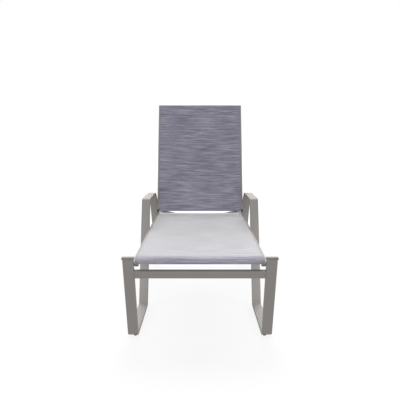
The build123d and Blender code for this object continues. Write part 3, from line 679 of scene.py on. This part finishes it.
def make_slings():
    """Both slings, with the stitches of their hems."""
    for part, line, body in (("seat", seat_line(), "base"), ("back", back_line(), "back")):
        name, node, slot = part + "_cloth", part + "_sling", part + "_weave"
        made, width = sling(name, line, body, slot)
        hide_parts(node)
        for end, mirrored in (("rear", False), ("front", True)):
            for label, distance in (("edge", STITCH_FROM_EDGE), ("hem", HEM_WIDTH - STITCH_FROM_EDGE)):
                travelled = line.length - distance if mirrored else distance
                stitches(f"{name}_stitches_{end}_{label}", line, travelled, body)


# Welds

def bead(name, loop, radius, body):
    """A weld bead with ripples along a closed loop of points that lie in one plane of constant X."""
    vertices, faces = [], []
    centre = sum(loop, Vector()) / len(loop)
    for i, point in enumerate(loop):
        outward = (point - centre).normalized()
        size = radius * (1 + RIPPLE_SHARE * math.sin(i * RIPPLE_TURN))
        for angle in angles(BEAD_SIDES):
            aside = Vector((math.sin(angle) * size, 0, 0))
            vertices.append(point + outward * (math.cos(angle) * size) + aside)
    for i in range(len(loop)):
        following = (i + 1) % len(loop)
        faces += between_rings(i * BEAD_SIDES, following * BEAD_SIDES, BEAD_SIDES)
    return mesh_piece(name, vertices, faces, MATERIALS["frame"], body)


def round_loop(x, centre, radius):
    """Points on a circle at a constant X."""
    points = []
    for angle in angles(BRACE_BEAD_POINTS):
        y, z = centre.y + radius * math.cos(angle), centre.z + radius * math.sin(angle)
        points.append(Vector((x, y, z)))
    return points


def flat_tube_loop(x, centre, lean, length, depth):
    """Points round the outline of a leaning flat tube at a constant X."""
    along, square = side_vector(math.pi / 2 + lean) * length, side_vector(lean) * depth
    shares = ((-0.5, -0.5), (0.5, -0.5), (0.5, 0.5), (-0.5, 0.5))
    corners = [centre + along * up + square * aside for up, aside in shares]
    points = []
    for first, second in zip(corners, corners[1:] + corners[:1]):
        count = max(2, int((second - first).length / BEAD_STEP))
        for i in range(count):
            point = first.lerp(second, i / count)
            points.append(Vector((x, point.y, point.z)))
    return points


def stretcher_welds():
    """Beads where the flat stretchers meet the side frames."""
    length, depth = STRETCHER_DEPTH + 2 * BEAD_OUT, STRETCHER_THICKNESS + 2 * BEAD_OUT
    for name, lean in (("front_stretcher", FRONT_LEG_LEAN), ("rear_stretcher", REAR_LEG_LEAN)):
        low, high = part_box(name)
        centre = (low + high) / 2
        for side, sign in (("right", 1), ("left", -1)):
            loop = flat_tube_loop(sign * (TUBE_INNER_X - STRETCHER_BEAD_IN), centre, lean, length, depth)
            bead(f"weld_{name}_{side}", loop, STRETCHER_BEAD, "base")


def brace_welds():
    """Beads round the ends of the bowed braces."""
    braces = {
        "seat_brace_front": ("base", RAIL_INNER_X),
        "seat_brace_middle": ("base", RAIL_INNER_X),
        "end_brace": ("base", RAIL_INNER_X),
        "rear_brace": ("base", RAIL_INNER_X - RACK_INSET),
        "back_brace_lower": ("back", RAIL_INNER_X),
        "back_brace_upper": ("back", RAIL_INNER_X),
    }
    for name, (body, reach) in braces.items():
        ends = [v.co for v in nodes[name].data.vertices if v.co.x > reach - BRACE_END_DEPTH]
        centre = sum(ends, Vector()) / len(ends)
        for side, sign in (("right", 1), ("left", -1)):
            loop = round_loop(sign * (reach - BRACE_BEAD_IN), centre, BRACE_RADIUS + BEAD_OUT)
            bead(f"weld_{name}_{side}", loop, BRACE_BEAD, body)


# Heads of bolts, screws and pins

def head_faces(name):
    """Centre and radius of each flat face on the inner ends of a node's bolts, screws or pins."""
    points = [v.co for v in nodes[name].data.vertices]
    inner = min(abs(point.x) for point in points)
    faces = []
    for point in points:
        if abs(point.x) > inner + HEAD_FACE_SLACK:
            continue
        for face in faces:
            if (face[0] - point).length < HEAD_REACH:
                face.append(point)
                break
        else:
            faces.append([point])
    found = []
    for face in faces:
        centre = sum(face, Vector()) / len(face)
        found.append((centre, max((point - centre).length for point in face)))
    return found


def socket_vertices(centre, radius, inward):
    """Rings of a domed head with a hexagonal socket, which looks inward along X."""
    vertices = []
    for share, height in SOCKET_RINGS:
        for angle in angles(SOCKET_POINTS):
            if share:
                reach = share * radius
            else:
                reach = SOCKET_HALF_WIDTH / math.cos(angle % HEXAGON_SECTOR - HEXAGON_SECTOR / 2)
            x = centre.x + inward * height * SOCKET_DEPTH
            vertices.append((x, centre.y + reach * math.cos(angle), centre.z + reach * math.sin(angle)))
    return vertices


def socket_heads():
    """A dome with a hexagonal socket on every bolt, screw and pin head."""
    bodies = {"frame_bolts": "base", "rack_screws": "base", "hinge_pins": "base", "prop_pins": "back"}
    for name, body in bodies.items():
        vertices, faces = [], []
        for centre, radius in head_faces(name):
            inward = -1 if centre.x > 0 else 1
            starts = [len(vertices) + i * SOCKET_POINTS for i in range(len(SOCKET_RINGS))]
            vertices += socket_vertices(centre, radius, inward)
            head = []
            for first, second in zip(starts, starts[1:]):
                head += between_rings(first, second, SOCKET_POINTS)
            head.append(ring(starts[-1], SOCKET_POINTS))
            head.append(tuple(reversed(ring(starts[0], SOCKET_POINTS))))
            faces += head if inward > 0 else [tuple(reversed(face)) for face in head]
        mesh_piece("sockets_" + name, vertices, faces, MATERIALS["steel"], body, smooth=False)


# Stage, light and camera

def floor():
    """Pale studio floor that takes only a faint shadow; its glow is dimmer near the lounger, a painted shade round
    it.
    """
    mesh = bpy.data.meshes.new("studio_floor")
    corners = [(x * FLOOR_REACH, y * FLOOR_REACH, 0) for x, y in ((-1, -1), (1, -1), (1, 1), (-1, 1))]
    mesh.from_pydata(corners, [], [(0, 1, 2, 3)])
    made = bpy.data.objects.new("studio_floor", mesh)
    bpy.context.scene.collection.objects.link(made)
    shader = Shader("studio_floor")
    shader.fixed(Base_Color=FLOOR_COLOUR, Roughness=1.0, Specular_IOR_Level=0.0)
    shader.fixed(Emission_Color=(1, 1, 1, 1))
    distance = shader.add("ShaderNodeVectorMath", operation="LENGTH")
    shader.link(shader.coordinates(), distance.inputs[0])
    # Painted shade: the glow is dimmer within reach of the lounger than far off
    glow_with_painted_shade = shader.span(distance.outputs["Value"], FLOOR_NEAR, FLOOR_FAR, FLOOR_GLOW_PAINTED_SHADE_NEAR, FLOOR_GLOW_FAR)
    shader.link(glow_with_painted_shade, shader.bsdf.inputs["Emission Strength"])
    mesh.materials.append(shader.material)


def surroundings():
    """White all round."""
    world = bpy.data.worlds.new("studio")
    world.use_nodes = True
    background = world.node_tree.nodes["Background"]
    background.inputs["Color"].default_value = (1, 1, 1, 1)
    background.inputs["Strength"].default_value = 1.0
    bpy.context.scene.world = world


def add_light(name, kind, power, rotation, **settings):
    """A light that shines down its own -Z, with the settings of its kind."""
    lamp = bpy.data.lights.new(name, kind)
    lamp.energy = power
    for key, value in settings.items():
        setattr(lamp, key, value)
    made = bpy.data.objects.new(name, lamp)
    made.rotation_euler = rotation
    bpy.context.scene.collection.objects.link(made)
    return made


def aimed_light(name, kind, power, place, aim, **settings):
    """A light that shines from a place to an aim, and that the camera doesn't see."""
    turn = (aim - place).to_track_quat("-Z", "Y").to_euler()
    made = add_light(name, kind, power, turn, **settings)
    made.location = place
    made.visible_camera = False


def lights():
    """Wide lights above, low ones at the sides and a soft one over the seat's shaded rear."""
    overhead = (("front", FRONT_LIGHT_POWER, FRONT_LIGHT_TILT), ("rear", REAR_LIGHT_POWER, REAR_LIGHT_TILT))
    for name, power, tilt in overhead:
        add_light("overhead_" + name, "SUN", power, (tilt, 0, 0), angle=LIGHT_SOFTNESS)
    for name, side in (("right", 1), ("left", -1)):
        mirror = Vector((side, 1, 1))
        place, aim = LOW_LIGHT_PLACE * mirror, LOW_LIGHT_AIM * mirror
        aimed_light("low_" + name, "AREA", LOW_LIGHT_POWER, place, aim, shape="DISK", size=LOW_LIGHT_SIZE)
    aimed_light(
        "over_seat", "SPOT", SEAT_LIGHT_POWER, SEAT_LIGHT_PLACE, SEAT_LIGHT_AIM,
        spot_size=SEAT_LIGHT_CONE, spot_blend=1.0, shadow_soft_size=SEAT_LIGHT_SIZE,
    )


def camera():
    """The photo's view, level across and from the foot end."""
    data = bpy.data.cameras.new("camera")
    data.sensor_width = CAMERA_SENSOR
    data.lens = CAMERA_LENS
    made = bpy.data.objects.new("camera", data)
    made.location = (0, FOOT_END_Y - CAMERA_AHEAD, CAMERA_HEIGHT)
    made.rotation_euler = (math.pi / 2 - CAMERA_DOWN, 0, 0)
    bpy.context.scene.collection.objects.link(made)
    bpy.context.scene.camera = made


bpy.context.scene.view_settings.view_transform = "Standard"
dress_cad_nodes()
make_slings()
stretcher_welds()
brace_welds()
socket_heads()
floor()
surroundings()
lights()
camera()
